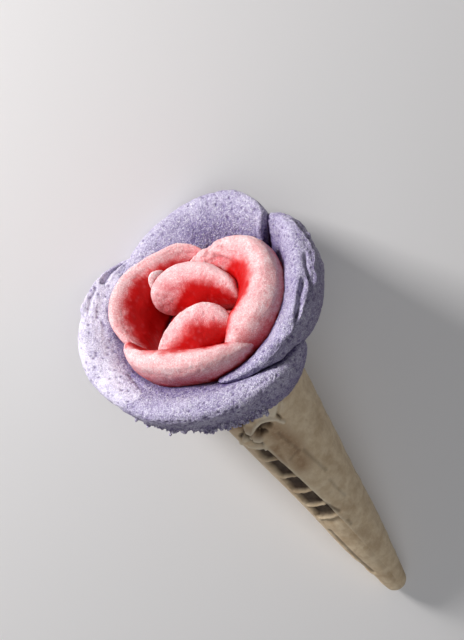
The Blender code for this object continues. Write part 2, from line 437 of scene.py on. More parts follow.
STROKES = {
    "petal_left": (
        Stroke(((11, -45.5, 3.6), (17.4, -44.5, 4.4), (20.5, -43.3, 4.6), (24.6, -40.6, 4.6)), 2.1, -2.4),
        Stroke(
            ((12, -48.2, 5), (19, -47, 5.4), (26, -44, 5.4), (33, -39.5, 5.4), (38.2, -33.4, 5)),
            2.0,
            1.0,
        ),
        Stroke(((29.3, -38.8, 5.2), (32.4, -36, 5.2), (34.6, -33.3, 5), (36.7, -30.7, 5)), 1.1, -0.8),
        Stroke(((20.1, -38.1, 1.4), (27.4, -32.9, 1.6), (31.6, -25.8, 0.7), (33.8, -17.3, -0.8)), 3.0, 0.7),
        Stroke(((36.3, 4.4, -1.4), (35.8, 9.4, -1.3), (35.3, 14.6, -0.9), (35.2, 18.8, -0.3)), 1.4, -0.8),
    ),
    "petal_right": (
        Stroke(
            (
                (-37.5, 25.5, 7),
                (-36.1, 27.4, 6.8),
                (-33.8, 29.6, 6.7),
                (-30.9, 33.1, 6.2),
                (-28.2, 36.6, 5.7),
            ),
            1.7,
            -2.4,
        ),
        Stroke(((-28.2, 36.6, 5.7), (-25.4, 38.7, 3.8), (-23, 39.9, 2.9), (-20.4, 41, 2.8)), 1.5, -1.6),
        Stroke(
            ((-44.6, 15.1, 7), (-42.2, 19.9, 7), (-40.5, 24.1, 6), (-38.6, 27.9, 4.8), (-34.8, 32.5, 4.1)),
            1.3,
            -1.4,
        ),
        Stroke(((-50, 4, 3), (-47.7, 12, 4.2), (-44.5, 20, 4.4), (-41, 26.5, 3.4)), 1.6, 1.0),
        Stroke(((-24.4, 39.3, 3.2), (-18.3, 40.7, 4), (-12.9, 39.7, 3.3), (-7.5, 37.7, 1.6)), 1.8, 0.8),
    ),
    "petal_top": (
        Stroke(((-41.5, -16.6, 6.3), (-37.7, -14.2, 2.8), (-36, -12.8, -1.1)), 1.6, 1.3),
        Stroke(((-42.7, -19.1, 2.7), (-38.7, -13.5, 0.2), (-35.8, -12.5, -3.1)), 1.4, -0.9),
    ),
    "petal_lower": (
        Stroke(
            ((31.3, 30.5, 1.3), (23.1, 36.2, 0.6), (13.3, 39.9, -0.3), (3, 42.1, -1.6), (-8.8, 44.4, -3.3)),
            4.5,
            0.7,
        ),
    ),
    "ring_right": (
        Stroke(((-21.4, -11.7, 9.4), (-21.3, -8.7, 8.8), (-23.5, -4.3, 9.6)), 1.5, -1.0),
        Stroke(((-17.9, -14.6, 7.9), (-20.5, -8, 8), (-21, -4, 8.2)), 1.6, 0.9),
        Stroke(((-16, -19.3, 7.7), (-17, -11.5, 5.8)), 1.4, -0.7),
        Stroke(((-25.5, -8.5, 11.5), (-27.5, -3.5, 11.8)), 1.8, 0.6),
    ),
    "ring_front": (
        Stroke(
            ((31, 3.2, 7.9), (28, 8, 8.4), (22.4, 13.5, 8.4), (15.5, 19.7, 8.5), (8.7, 24.2, 7.1)),
            1.6,
            0.6,
        ),
    ),
}


def stroke_strength(places, stroke):
    """How much each place feels the stroke, from 1 on its line to 0 at its width away."""
    nearest = np.full(len(places), np.inf)
    line = np.array(stroke.line, float)
    for start, end in zip(line, line[1:]):
        way = end - start
        share = np.clip((places - start) @ way / (way @ way), 0, 1)
        nearest = np.minimum(nearest, np.linalg.norm(places - start - share[:, None] * way, axis=1))
    return (1 - np.clip(nearest / stroke.width, 0, 1) ** 2) ** 2


def pushed_by_strokes(name, places):
    """How far the strokes of a petal push each of its points."""
    return sum(stroke.push * stroke_strength(places, stroke) for stroke in STROKES.get(name, ()))


# How much finer each octave of the noise is, how far a pit reaches in its cell, how steep its rim is,
# and what tells the chances of neighbouring cells apart
FINER_BY = 2.1
PIT_REACH = 0.42
PIT_RIM = 0.8
PIT_CHANCE_SPREAD = 7.3


def fractal(places, size, octaves=2, smooth=0.9):
    """Lumpy noise from about -1 to 1, whose largest lumps are about this size in millimetres.

    A number that is added to the places only moves it, so that no two layers of noise are alike.
    """
    scaled = places / size
    return np.array([noise.fractal(place, smooth, FINER_BY, octaves) for place in scaled.tolist()])


def dragged(along, down, out, lengths, octaves=2, smooth=0.9, shift=0):
    """Noise drawn out as a spatula does, by its lumps' lengths along, down and out of a petal."""
    drawn = np.stack([along / lengths[0], down / lengths[1], out / lengths[2]], axis=1)
    return fractal(drawn + shift, 1, octaves, smooth)


def pits(places, size, share):
    """1 in the middle of scattered pits, of which this share of the cells has one."""
    found = np.zeros(len(places))
    for n, place in enumerate((places / size).tolist()):
        near, points = noise.voronoi(place)
        if noise.cell(points[0] * PIT_CHANCE_SPREAD) < share:
            found[n] = max(0, 1 - near[0] / PIT_REACH)
    return smooth_step(0, PIT_RIM, found)


def vertex_values(mesh, name):
    values = np.empty(len(mesh.vertices))
    mesh.attributes[name].data.foreach_get("value", values)
    return values


def places_and_normals(mesh):
    places = np.empty(len(mesh.vertices) * 3)
    mesh.vertices.foreach_get("co", places)
    normals = np.empty(len(mesh.vertices) * 3)
    mesh.vertex_normals.foreach_get("vector", normals)
    return places.reshape(-1, 3), normals.reshape(-1, 3)


def store(mesh, name, values):
    if name not in mesh.attributes:
        mesh.attributes.new(name, "FLOAT", "POINT")
    mesh.attributes[name].data.foreach_set("value", np.asarray(values, np.float32))


# Shelter: how closed in each point is by what stands round it

SHELTER_REACH = 26
SHELTER_RAYS = 28
FAR_SHELTER = 0.4
SKIN = 0.9


def hemisphere(count):
    """Directions over a half sphere, thicker round its pole, on a golden spiral."""
    golden = math.pi * (3 - math.sqrt(5))
    for n in range(count):
        across = math.sqrt((n + 0.5) / count)
        turn = golden * n
        yield Vector((across * math.cos(turn), across * math.sin(turn), math.sqrt(1 - across**2)))


def store_shelter(forms):
    """Gives every form a shelter value at each vertex, from 0 in the open to 1 shut in."""
    corners = []
    faces = []
    for bm in forms.values():
        start = len(corners)
        corners += [vertex.co.copy() for vertex in bm.verts]
        bm.verts.index_update()
        faces += [[start + vertex.index for vertex in face.verts] for face in bm.faces]
    tree = BVHTree.FromPolygons(corners, faces)
    rays = list(hemisphere(SHELTER_RAYS))
    for bm in forms.values():
        layer = bm.verts.layers.float.new("shelter")
        bm.normal_update()
        for vertex in bm.verts:
            turn = vertex.normal.to_track_quat("Z", "Y")
            origin = vertex.co + vertex.normal * SKIN
            shut = 0
            for ray in rays:
                distance = tree.ray_cast(origin, turn @ ray, SHELTER_REACH)[3]
                if distance is not None:
                    shut += 1 - distance / SHELTER_REACH * (1 - FAR_SHELTER)
            vertex[layer] = shut / SHELTER_RAYS


def finished(name, bm, frame_matrix, levels, surface, material, node):
    """Subdivides a form, sculpts its surface and puts the piece in the place of its node."""
    rough = bpy.data.meshes.new(name + "_form")
    bm.to_mesh(rough)
    bm.free()
    piece = bpy.data.objects.new(name, rough)
    bpy.context.scene.collection.objects.link(piece)
    if levels:
        subdivision = piece.modifiers.new("subdivision", "SUBSURF")
        subdivision.levels = levels
        subdivision.render_levels = levels
        shaped = piece.evaluated_get(bpy.context.evaluated_depsgraph_get())
        mesh = bpy.data.meshes.new_from_object(shaped)
        piece.modifiers.clear()
        piece.data = mesh
        bpy.data.meshes.remove(rough)
    mesh = piece.data
    mesh.name = name
    places, normals = places_and_normals(mesh)
    places = surface(node, mesh, places, normals)
    mesh.vertices.foreach_set("co", places.ravel())
    mesh.transform(Matrix.Scale(MM, 4) @ frame_matrix)
    # Nothing sinks into the floor
    for vertex in mesh.vertices:
        vertex.co.z = max(0, vertex.co.z)
    mesh.materials.clear()
    mesh.materials.append(material)
    mesh.shade_smooth()
    mesh.update()
    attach(piece, "root")
    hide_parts(node)
    return piece


# What differs between the lavender pieces: how much rime lies on each, whose heavy rime on petal_left
# is partly painted light on that side, how far down from its crest the rime reaches, and how many
# fine pores it shows, whose darkness is painted shade. The core has no crest.
Frozen = namedtuple("Frozen", "rime rime_reach porous")
LAVENDER_ICE = {
    "petal_left": Frozen(0.95, 36, 0.3),
    "petal_top": Frozen(0.55, 16, 0.15),
    "petal_right": Frozen(0.42, 30, 0.5),
    "petal_lower": Frozen(0.5, 12, 0.55),
    "gelato_core": Frozen(0.15, None, 0.4),
}


def lavender_surface(name, mesh, places, normals):
    """Lavender gelato: lumps, spatula drags, icy grain, air pits, and a ragged foot on one petal."""
    shelter = vertex_values(mesh, "shelter")
    height = 0.45 * fractal(places, 12, 2)
    height += 0.16 * fractal(places + 40, 1.7, 2, 0.5)
    pitted = pits(places, 2.1, 0.03)
    ragged = np.zeros(len(places))
    ice = LAVENDER_ICE[name]
    rime = ice.rime * smooth_step(0.75, 0.15, shelter)
    if name in LAVENDER_PETALS:
        share, along, down, out = (vertex_values(mesh, key) for key in ON_PETAL)
        rime *= 0.15 + 0.85 * smooth_step(ice.rime_reach, 2, down)
        height += 0.12 * dragged(along, down, out, (16, 1.7, 1.7))
        outside = smooth_step(-1, 2, out)
        if name == "petal_right":
            folds = dragged(along, down, out, (9, 2.6, 2.2))
            height += 0.9 * folds * outside * smooth_step(24, 10, down)
            pitted = np.maximum(pitted, pits(places + 90, 1.9, 0.2) * outside)
        if name == "petal_lower":
            ragged = smooth_step(1, 4, out) * smooth_step(4, 9, down) * smooth_step(36, 28, down)
            ragged *= smooth_step(0.12, 0.28, share) * smooth_step(0.8, 0.62, share)
            strands = dragged(along, down, out, (2.1, 5, 3), 3, 0.7)
            height += ragged * (2.3 * strands + 0.3)
            pitted = np.maximum(pitted, pits(places + 90, 2.0, 0.45) * smooth_step(-3, 2, out))
        if name == "petal_left":
            rim = smooth_step(-3, 1, out) * smooth_step(16, 9, down)
            pitted = np.maximum(pitted, pits(places + 90, 1.9, 0.35) * rim)
    height -= 0.45 * pitted
    height += pushed_by_strokes(name, places)
    rime *= 0.85 + 0.35 * fractal(places + 60, 9, 2)
    store(mesh, "pitted", pitted)
    store(mesh, "ragged", ragged)
    store(mesh, "porous", np.full(len(places), ice.porous))
    store(mesh, "frosted", np.clip(rime, 0, 1))
    return places + normals * height[:, None]


# How far down a pink petal its frost reaches: on its inner side at even steps from its start to its
# end, and on its outer side all along. On ring_right the short outer reach leaves its outer side dark
# red, painted shade on the side turned from the light.
FROST_INSIDE = {
    "ring_back": (14, 5.5, 5, 6, 8),
    "ring_right": (14, 13, 11, 4, 3.5, 6, 8),
    "ring_front": (3, 3, 4),
    "lobe_back": (15, 11, 5, 4, 5),
    "lobe_front": (6, 7, 8, 6),
    "curl": (30, 30),
}
OUTER_FROST_AND_SHADE = {
    "ring_front": 10,
    "ring_right": 5.5,
    "ring_back": 12,
    "lobe_back": 14,
    "lobe_front": 14,
    "curl": 30,
}
FROST_FADE = 3.8
# How much whiter the curl's crest is than the others: icier, and partly painted highlight for its glints
CURL_ICE_AND_GLINT = 1.8


def gone_red(name, share, down, out, streaks):
    """How far the red of a pink petal shows through its frost, made uneven by streaks; on ring_right's
    outer side the red is painted shade too.
    """
    steps = FROST_INSIDE[name]
    reach = np.interp(share, np.linspace(0.05, 0.95, len(steps)), steps)
    red_inside = smooth_step(-FROST_FADE, FROST_FADE, down + streaks - reach)
    below_frost = down + streaks - OUTER_FROST_AND_SHADE[name]
    # Below the outer frost the bare red shows; on ring_right it is also painted shade
    red_outside = 0.85 * smooth_step(-2 * FROST_FADE, 2 * FROST_FADE, below_frost)
    inside = smooth_step(1.0, -1.0, out)
    return inside * red_inside + (1 - inside) * red_outside


def pink_surface(name, mesh, places, normals):
    """Pink gelato: smoother lumps and drags, fainter grain, and frost that fades into its red folds."""
    shelter = vertex_values(mesh, "shelter")
    blotch = fractal(places + 15, 5, 3)
    height = 0.4 * fractal(places, 9, 2)
    height += 0.09 * fractal(places + 40, 1.9, 2, 0.5)
    pitted = pits(places, 2.4, 0.06)
    red = smooth_step(0.5, 0.95, shelter + 0.10 * blotch)
    crest = np.zeros(len(places))
    if name in PINK_PETALS:
        share, along, down, out = (vertex_values(mesh, key) for key in ON_PETAL)
        # The curl's crest is painted whiter, partly as a highlight for the glints on its glassy ice
        crest = smooth_step(7, 0, down) * (CURL_ICE_AND_GLINT if name == "curl" else 1)
        height += 0.1 * dragged(along, down, out, (13, 1.9, 1.9))
        if name == "ring_right":
            wrinkled = smooth_step(0.36, 0.2, share) * smooth_step(16, 6, down)
            height += 0.9 * fractal(places + 20, 3.2, 3) * wrinkled
        streaks = 1.3 * blotch + 0.9 * dragged(along, down, out, (2.5, 8, 8), shift=5)
        red = np.maximum(red, gone_red(name, share, down, out, streaks))
    height -= 0.25 * pitted * (1 - red)
    height += pushed_by_strokes(name, places)
    store(mesh, "pitted", pitted)
    store(mesh, "crest", crest)
    store(mesh, "red", red)
    return places + normals * height[:, None]


# The wafer: relief is worked out from the azimuth round the cone and the distance below its mouth

# The free edge's step is this many degrees wide, and the roll evens out over the last quarter
EDGE_WIDTH = 1.2
EDGE_FADE = 4
WAFER_STEPS = 300 // (3 - FINE)
WAFER_RINGS = 250 // (3 - FINE)
TIP_RINGS = 12
INSIDE_RINGS = 12
INSIDE_DEPTH = 30
LIP = 0.6
WAFER_CELL = 10.4
WAFER_RIB = 0.7
RIB_SLOPE = 1.6
WAFFLE_SHIFT = 0.3
CELL_DEPTH = 0.5
SLOPE = (MOUTH_RADIUS - TIP_RADIUS) / (CONE_LENGTH - TIP_RADIUS)
APEX_BELOW_MOUTH = MOUTH_RADIUS / SLOPE
RUNG_BELOW_MOUTH = 31.5

# Where the waffle shows, in degrees past the free edge: faintly on the flap that lies on top, and
# fully where the flap has ended
FLAP_ENDS = (190, 140)
FLAP_CELLS = 0.3
BARE_STARTS = (200, 250)
BARE_CELLS_END = (300, 285)
TIP_TAPER = 0.12
SEAM = 359.99

# The row of deep cells beside the free edge, as distances below the mouth of the ribs between them
RIBS = (23, 31.5, 43.2, 53.7, 63.7, 72.5)
DEEP_ROW_STARTS = (21.5, 24)
DEEP_ROW_ENDS = (78, 68)
DEEP_RIB = (0.35, 1.3)
DEEP_CELL = 1.9
DEEP_CELLS_FROM = 34
DEEP_CELLS_TURN = -0.1
DEEP_CELLS_START = (-5, 3)
DEEP_CELLS_PAST = (300, 310)
STEP_FADES = (0.45, 0.8)

# Strokes on the wafer, each along points of azimuth and distance below the mouth. What is pushed out
# is painted pale as a highlight and what is pushed in is painted dark as shade, and a stain only
# browns the wafer.
WAFER_STROKES = (
    ("tab", ((80, 7.5), (86, 5.5), (93, 5), (97, 6), (92, 8), (85, 8)), 3.6, 0.8),
    ("arc", ((56.5, 12.2), (63, 10.2), (72, 8.5), (81, 9.2), (88, 11.7), (92, 14.8)), 1.3, 1.2),
    ("crack", ((108, 2.8), (103.5, 4.8), (97.4, 7.5), (91.5, 9.9), (92, 12.3)), 1.0, -1.6),
    ("hollow", ((60, 13.9), (66, 12), (73, 11.7), (77, 12.5)), 2.1, -2.6),
    ("hollow", ((62, 14.6), (69, 14.3)), 1.8, -1.8),
    ("hollow", ((61, 4.5), (64, 6.1)), 2.0, -1.4),
    ("hollow", ((51, 7.2), (44, 8.6)), 1.8, -1.3),
    ("hollow", ((40, 13), (52, 13.3)), 1.2, -1.0),
    ("hollow", ((46, 12), (42, 15), (46, 19), (53, 19.4)), 2.6, -0.9),
    ("hollow", ((30, 15.5), (36, 13.8)), 1.6, -0.8),
    ("knob", ((53.8, 10.9), (54.3, 11.1)), 2.1, 1.9),
    ("knob", ((37.1, 16.2), (37.6, 16.4)), 2.2, 2.0),
    ("knob", ((25, 18.6), (26, 18.9)), 2.0, 1.6),
    ("knob", ((45, 16.4), (46, 16.5)), 1.4, 1.4),
    ("knob", ((52.9, 15.8), (57.8, 17)), 2.1, 1.9),
    ("knob", ((32, 21), (46, 22.3), (55.8, 22.5)), 1.4, 1.2),
    ("rib", ((80, 18), (84, 25), (88, 31)), 1.2, -0.2),
    ("rib", ((70, 33), (80, 31.4), (87, 31)), 1.0, -0.2),
    ("rib", ((92.9, 32.4), (97.5, 40.5), (102.7, 48)), 1.3, -0.22),
    ("rib", ((98.5, 53), (101, 59), (105.3, 64.8)), 1.2, -0.18),
    ("rib", ((66, 60), (73, 65.2), (81, 70)), 1.3, -0.5),
    ("rib", ((84.4, 76.7), (84.8, 79.7)), 1.1, -0.25),
    ("groove", ((29, 81), (33, 90), (35, 98), (37, 107), (39, 112)), 1.7, -0.5),
    ("stain", ((22, 9), (45, 9), (60, 14)), 5, 0),
    ("stain", ((60, 5), (100, 4)), 2.5, 0),
    ("stain", ((78, 16), (84, 26), (80, 38)), 7, 0),
    ("stain", ((66, 24), (58, 34)), 4, 0),
)


def free_edge(below):
    return FREE_EDGE_AT_MOUTH + FREE_EDGE_TWIST * below / CONE_LENGTH


def wafer_radius(height):
    """The plain cone's outer radius at a height, from the tip's rounding up to the mouth."""
    return MOUTH_RADIUS + SLOPE * (height - MOUTH_HEIGHT)


def wafer_form():
    """The plain cone: its outside from the tip up, its rim and its inside as deep as can be seen."""
    tip = MOUTH_HEIGHT - CONE_LENGTH
    outer = []
    for n in range(TIP_RINGS):
        turn = math.radians(90 * n / TIP_RINGS)
        outer.append((TIP_RADIUS * math.sin(turn), tip + TIP_RADIUS * (1 - math.cos(turn))))
    for n in range(WAFER_RINGS + 1):
        height = tip + TIP_RADIUS + (CONE_LENGTH - TIP_RADIUS - LIP) * n / WAFER_RINGS
        outer.append((wafer_radius(height), height))
    rim = [(MOUTH_RADIUS - LIP, MOUTH_HEIGHT), (MOUTH_RADIUS - WAFER + LIP, MOUTH_HEIGHT)]
    inner = []
    for n in range(INSIDE_RINGS + 1):
        height = MOUTH_HEIGHT - LIP - INSIDE_DEPTH * n / INSIDE_RINGS
        inner.append((wafer_radius(height) - WAFER, height))
    return turned(outer + rim + inner + [(0, inner[-1][1] - 2)], WAFER_STEPS)


def waffle(turn, below):
    """1 in the middle of a waffle cell, 0 on a rib. The grid is square on the wafer laid flat."""
    slant = math.hypot(1, SLOPE)
    from_apex = (APEX_BELOW_MOUTH - below) * slant
    flat_turn = np.radians(turn) * SLOPE / slant
    x = from_apex * np.cos(flat_turn) - (APEX_BELOW_MOUTH - RUNG_BELOW_MOUTH) * slant
    y = from_apex * np.sin(flat_turn) + WAFFLE_SHIFT * WAFER_CELL
    to_rib = np.minimum(
        np.abs((x / WAFER_CELL + 0.5) % 1 - 0.5),
        np.abs((y / WAFER_CELL + 0.5) % 1 - 0.5),
    )
    return smooth_step(WAFER_RIB, WAFER_RIB + RIB_SLOPE, to_rib * WAFER_CELL)


def deep_cells(azimuth, past, below):
    """1 at the bottom of the deep cells that show beside the free edge."""
    to_rib = np.min([np.abs(below - rib) for rib in RIBS], axis=0)
    between_ribs = smooth_step(*DEEP_RIB, to_rib)
    between_ribs *= smooth_step(*DEEP_ROW_STARTS, below) * smooth_step(*DEEP_ROW_ENDS, below)
    left = DEEP_CELLS_FROM + DEEP_CELLS_TURN * (below - RIBS[0])
    azimuth = np.where(azimuth > 200, azimuth - 360, azimuth)
    beside_edge = smooth_step(*DEEP_CELLS_START, azimuth - left) * smooth_step(*DEEP_CELLS_PAST, past)
    return between_ribs * beside_edge


def on_cone(azimuth, below):
    """Points of the plain cone's surface, from their azimuth and distance below the mouth."""
    height = MOUTH_HEIGHT - below
    radius = wafer_radius(height)
    turn = np.radians(azimuth)
    return np.stack([radius * np.cos(turn), radius * np.sin(turn), height], axis=-1)


def wafer_surface(name, mesh, places, normals):
    """Rolls the plain cone up to its free edge and presses the waffle's cells and breaks into it."""
    radius = np.hypot(places[:, 0], places[:, 1])
    below = MOUTH_HEIGHT - places[:, 2]
    down = below / CONE_LENGTH
    past = np.degrees(np.arctan2(places[:, 1], places[:, 0])) % 360
    past = np.where(past > SEAM, 0, past) * (360 - EDGE_WIDTH) / (360 - 360 / WAFER_STEPS)
    azimuth = (free_edge(below) + past) % 360
    outer = radius > wafer_radius(places[:, 2]) - WAFER / 2
    solid_cone = on_cone(azimuth, below)
    flap = smooth_step(*FLAP_ENDS, past)
    bare = smooth_step(*BARE_STARTS, past)
    tapered = smooth_step(0, TIP_TAPER, 1 - down)
    cells = FLAP_CELLS * flap * waffle(past, below) + bare * waffle(past - 360, below)
    wobble = fractal(solid_cone + 30, 4, 2)
    deep = deep_cells(azimuth + 4 * wobble, past, below + 0.8 * wobble)
    step = 1 - smooth_step(*STEP_FADES, down)
    relief = ROLL_STEP * (1 - step * past / 360) * np.minimum(1, EDGE_FADE * (1 - down))
    shallow = cells * (1 - deep) * smooth_step(*BARE_CELLS_END, past) + FLAP_CELLS * flap * cells
    relief -= tapered * (CELL_DEPTH * shallow + DEEP_CELL * deep)
    relief += 0.12 * fractal(places, 9, 3)
    relief += 0.05 * fractal(solid_cone, 1.3, 2)
    # Painted shade: the deep cells, and below them the hollows, cracks, ribs and grooves, are painted dark
    hollow_shade = deep.copy()
    pale = np.zeros(len(places))
    stained = np.zeros(len(places))
    for kind, line, width, push in WAFER_STROKES:
        points = on_cone(*np.array(line, float).T)
        strength = stroke_strength(solid_cone, Stroke(points, width, push))
        relief += push * strength
        if kind == "stain":
            stained = np.maximum(stained, strength)
        elif push > 0:
            pale = np.maximum(pale, strength)
        else:
            hollow_shade = np.maximum(hollow_shade, strength * min(1, 1.3 * abs(push)))
    hollow_shade *= 1 - pale
    radius = np.where(outer, radius + relief, radius)
    places = places.copy()
    places[:, 0] = np.where(radius > 0.01, radius * np.cos(np.radians(azimuth)), 0)
    places[:, 1] = np.where(radius > 0.01, radius * np.sin(np.radians(azimuth)), 0)
    # Painted highlight along the flap's free edge
    near_edge = smooth_step(6, 0.5, past) * step
    store(mesh, "cells", cells)
    store(mesh, "hollow_shade", hollow_shade)
    store(mesh, "pale", pale)
    store(mesh, "stained", stained)
    store(mesh, "edge", near_edge)
    return places


# Materials

ICE_IOR = 1.33


class Nodes:
    """A short way to add nodes to a material's or a group's tree and to link them."""

    def __init__(self, tree):
        self.tree = tree

    def add(self, kind, inputs=(), **settings):
        node = self.tree.nodes.new(kind)
        for key, value in settings.items():
            setattr(node, key, value)
        for key, value in dict(inputs).items():
            self.set(node, key, value)
        return node

    def set(self, node, key, value):
        if isinstance(value, bpy.types.NodeSocket):
            self.tree.links.new(value, node.inputs[key])
        else:
            node.inputs[key].default_value = value

    def attribute(self, name):
        return self.add("ShaderNodeAttribute", attribute_name=name).outputs["Fac"]

    def math(self, operation, a, b=0.0, c=0.0):
        return self.add("ShaderNodeMath", {0: a, 1: b, 2: c}, operation=operation).outputs[0]

    def range(self, value, low, high, to_low=0.0, to_high=1.0):
        node = self.add(
            "ShaderNodeMapRange",
            {"Value": value, "From Min": low, "From Max": high, "To Min": to_low, "To Max": to_high},
            interpolation_type="SMOOTHSTEP",
        )
        return node.outputs[0]

    def mix(self, share, a, b):
        node = self.add("ShaderNodeMix", data_type="RGBA")
        for index, value in ((0, share), (6, a), (7, b)):
            self.set(node, index, value)
        return node.outputs[2]

    def noise(self, where, size, detail=2.0, rough=0.55):
        """Noise whose grains are about this size in millimetres."""
        node = self.add(
            "ShaderNodeTexNoise",
            {"Vector": where, "Scale": 1 / (size * MM), "Detail": detail, "Roughness": rough},
        )
        return node.outputs["Fac"]

    def cells(self, where, size, output="Distance"):
        node = self.add("ShaderNodeTexVoronoi", {"Vector": where, "Scale": 1 / (size * MM)})
        return node.outputs[output]

    def bump(self, height, strength, distance, normal=None):
        inputs = {"Height": height, "Strength": strength, "Distance": distance * MM}
        if normal is not None:
            inputs["Normal"] = normal
        return self.add("ShaderNodeBump", inputs).outputs["Normal"]


def group(name, inputs, outputs):
    """A new node group with these sockets, each a name with a kind and, for an input, its value."""
    tree = bpy.data.node_groups.new(name, "ShaderNodeTree")
    for key, kind, value in inputs:
        socket = tree.interface.new_socket(key, in_out="INPUT", socket_type=kind)
        if value is not None:
            socket.default_value = value
    for key, kind in outputs:
        tree.interface.new_socket(key, in_out="OUTPUT", socket_type=kind)
    nodes = Nodes(tree)
    return tree, nodes, nodes.add("NodeGroupInput"), nodes.add("NodeGroupOutput")


def icy_grain_group():
    """Frozen grain: a height for bump, and the shares of white crystals, hollows painted dark as shade, and
    pores.

    At a fineness of 1 its lumps have the sizes given here, in millimetres.
    """
    tree, nodes, given, result = group(
        "icy_grain",
        (("Vector", "NodeSocketVector", None), ("Fineness", "NodeSocketFloat", 1.0)),
        (
            ("Height", "NodeSocketFloat"),
            ("Crystals", "NodeSocketFloat"),
            ("Shaded_hollows", "NodeSocketFloat"),
            ("Pores", "NodeSocketFloat"),
        ),
    )
    where = nodes.add("ShaderNodeVectorMath", {0: given.outputs["Vector"]}, operation="SCALE")
    nodes.set(where, "Scale", given.outputs["Fineness"])
    where = where.outputs[0]
    coarse = nodes.noise(where, 1.6, 3.0, 0.65)
    fine = nodes.noise(where, 0.5, 2.0, 0.6)
    flakes = nodes.cells(where, 0.8)
    of_cell = nodes.add("ShaderNodeSeparateColor", {"Color": nodes.cells(where, 1.3, "Color")})
    chosen = nodes.range(of_cell.outputs["Red"], 0.60, 0.66)
    pores = nodes.math("MULTIPLY", chosen, nodes.range(nodes.cells(where, 1.3), 0.32, 0.1))
    height = nodes.math("MULTIPLY_ADD", coarse, 0.7, nodes.math("MULTIPLY", fine, 0.55))
    height = nodes.math("SUBTRACT", height, nodes.math("MULTIPLY", flakes, 0.3))
    height = nodes.math("SUBTRACT", height, nodes.math("MULTIPLY", pores, 0.5))
    speck = nodes.math("ADD", nodes.math("MULTIPLY", fine, 0.65), nodes.math("MULTIPLY", coarse, 0.35))
    nodes.set(result, "Height", height)
    nodes.set(result, "Crystals", nodes.range(speck, 0.51, 0.61))
    # The low grains, which the materials paint dark as shade in the grain's hollows
    nodes.set(result, "Shaded_hollows", nodes.range(speck, 0.50, 0.40))
    nodes.set(result, "Pores", pores)
    return tree


def new_material(name):
    material = bpy.data.materials.new(name)
    material.use_nodes = True
    nodes = Nodes(material.node_tree)
    return material, nodes, material.node_tree.nodes["Principled BSDF"]


def place_grain(nodes, grain, fineness):
    """Adds the icy grain to a material. Gives the piece's coordinates and what the grain puts out."""
    where = nodes.add("ShaderNodeTexCoord").outputs["Object"]
    ice = nodes.add("ShaderNodeGroup", node_tree=grain)
    nodes.set(ice, "Vector", where)
    nodes.set(ice, "Fineness", fineness)
    return where, ice.outputs


def let_light_in(shader, weight, depths, scale):
    """Lets light into the ice: how much of it, and how deep red, green and blue go at this scale."""
    shader.inputs["Subsurface Weight"].default_value = weight
    shader.inputs["Subsurface Radius"].default_value = depths
    shader.inputs["Subsurface Scale"].default_value = scale
    shader.inputs["IOR"].default_value = ICE_IOR


LAVENDER_FINENESS = 1.45
LAVENDER_DEEP = (0.18, 0.14, 0.32, 1)
LAVENDER_PLAIN = (0.27, 0.23, 0.43, 1)
LAVENDER_RIME = (0.78, 0.74, 0.86, 1)
LAVENDER_CRYSTALS = (0.93, 0.91, 0.97, 1)
LAVENDER_HOLLOW_SHADE = (0.13, 0.09, 0.23, 1)
LAVENDER_PORE_SHADE = (0.12, 0.08, 0.22, 1)
LAVENDER_PAINTED_SHADE = (0.10, 0.06, 0.20, 1)


def lavender_material(grain):
    material, nodes, shader = new_material("lavender_gelato")
    where, ice = place_grain(nodes, grain, LAVENDER_FINENESS)
    frosted = nodes.attribute("frosted")
    pitted = nodes.attribute("pitted")
    ragged = nodes.attribute("ragged")
    porous = nodes.attribute("porous")
    shelter = nodes.attribute("shelter")
    patches = nodes.noise(where, 9, 3.0)
    colour = nodes.mix(nodes.range(patches, 0.35, 0.65), LAVENDER_DEEP, LAVENDER_PLAIN)
    colour = nodes.mix(nodes.math("MULTIPLY", frosted, 0.85), colour, LAVENDER_RIME)
    sparkling = nodes.math("MULTIPLY_ADD", frosted, 0.1, 0.55)
    frost = nodes.math("MULTIPLY", ice["Crystals"], sparkling)
    colour = nodes.mix(frost, colour, LAVENDER_CRYSTALS)
    # Painted shade in the grain's hollows, less under rime and more on the ragged foot
    dark = nodes.math("MULTIPLY_ADD", frosted, -0.5, 0.75)
    dark = nodes.math("MULTIPLY", ice["Shaded_hollows"], nodes.math("MULTIPLY_ADD", ragged, 0.25, dark))
    colour = nodes.mix(dark, colour, LAVENDER_HOLLOW_SHADE)
    # Painted shade inside the pores and the pits
    pores = nodes.math("MULTIPLY", ice["Pores"], porous)
    holes = nodes.math("MAXIMUM", pores, nodes.math("MULTIPLY", pitted, 0.8))
    colour = nodes.mix(holes, colour, LAVENDER_PORE_SHADE)
    # Painted shade, darker where the piece is shut in by what stands round it
    colour = nodes.mix(nodes.range(shelter, 0.45, 0.9, 0, 0.75), colour, LAVENDER_PAINTED_SHADE)
    nodes.set(shader, "Base Color", colour)
    nodes.set(shader, "Roughness", nodes.range(ice["Crystals"], 0, 1, 0.6, 0.26))
    strength = nodes.range(frosted, 0.2, 1.0, 1.0, 0.6)
    nodes.set(shader, "Normal", nodes.bump(ice["Height"], strength, 0.8))
    let_light_in(shader, 0.15, (1.0, 0.8, 1.2), 0.0008)
    return material


PINK_FINENESS = 1.9
PINK_CREST = (0.66, 0.15, 0.17, 1)
PINK_FOLD = (0.60, 0.04, 0.045, 1)
PINK_DEEP_FOLD = (0.47, 0.003, 0.003, 1)
PINK_RIME = (0.91, 0.79, 0.80, 1)
PINK_HOLLOW_SHADE = (0.58, 0.10, 0.12, 1)
PINK_PIT_SHADE = (0.55, 0.08, 0.10, 1)
PINK_PAINTED_SHADE = (0.12, 0.001, 0.002, 1)


